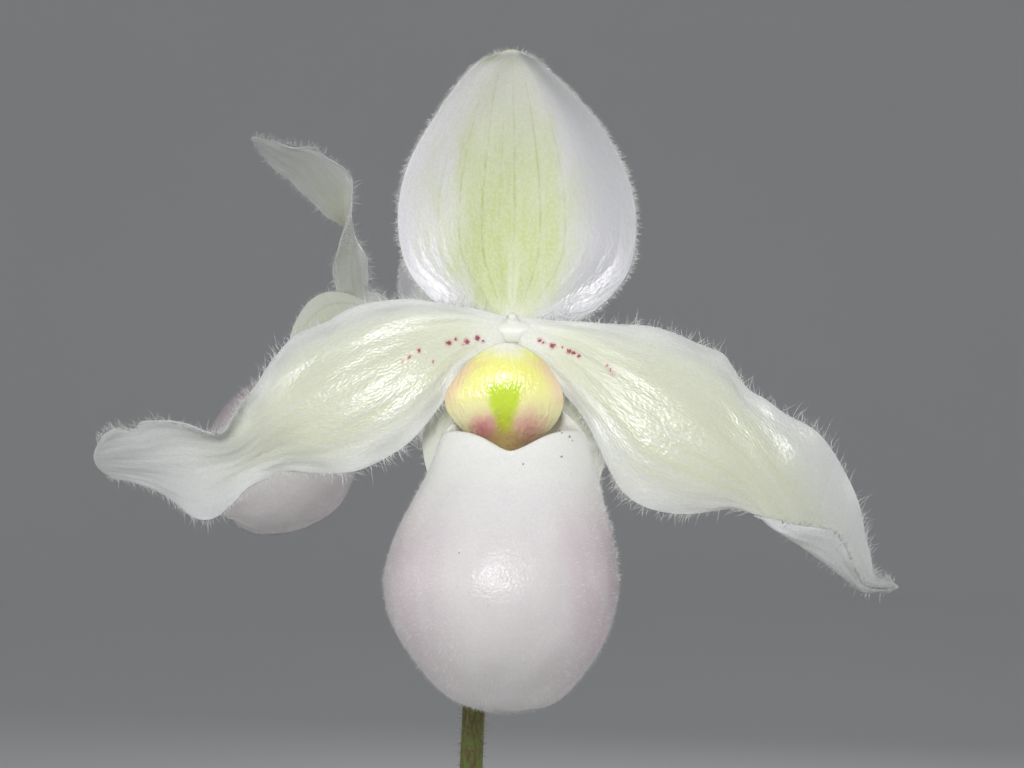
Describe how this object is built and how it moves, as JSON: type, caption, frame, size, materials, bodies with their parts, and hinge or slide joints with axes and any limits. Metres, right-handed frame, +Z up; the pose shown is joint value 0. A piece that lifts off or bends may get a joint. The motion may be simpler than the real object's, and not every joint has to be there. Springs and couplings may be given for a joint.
{
  "type": "potted slipper orchid",
  "caption": "White slipper orchid in a plain plastic pot: open blooms and a bud on a tall stem above a fan of strap leaves in bark mix.",
  "frame": {"origin": "middle of the flat underside of the pot's foot, on the surface that it stands on", "axes": "+Z up, the front bloom faces -Y, +X to the right of someone who looks at that bloom"},
  "size_m": [0.3068, 0.126, 0.3605],
  "materials": {
    "pot": "smooth, glossy",
    "bark": "rough, matte",
    "leaf": "waxy satin",
    "stem": "downy, matte",
    "bract": "satin",
    "sepal": "satin, finely hairy edge",
    "petal": "satin, hairy edge",
    "pouch": "velvety satin",
    "staminode": "glossy"
  },
  "bodies": {
    "root": {"pot": "pot", "bark_mix": "bark", "leaf_1": "leaf", "leaf_2": "leaf", "leaf_3": "leaf", "leaf_4": "leaf", "leaf_5": "leaf", "leaf_6": "leaf", "shoot_leaf_1": "leaf", "shoot_leaf_2": "leaf", "shoot_leaf_3": "leaf", "flower_stem": "stem", "tip_bud": "bract", "front_ovary": "stem", "front_bract": "bract", "front_dorsal_sepal": "sepal", "front_lower_sepal": "sepal", "front_petal_left": "petal", "front_petal_right": "petal", "front_pouch": "pouch", "front_staminode": "staminode", "rear_ovary": "stem", "rear_bract": "bract", "rear_dorsal_sepal": "sepal", "rear_lower_sepal": "sepal", "rear_petal_left": "petal", "rear_petal_right": "petal", "rear_pouch": "pouch", "rear_staminode": "staminode"}
  },
  "joints": []
}
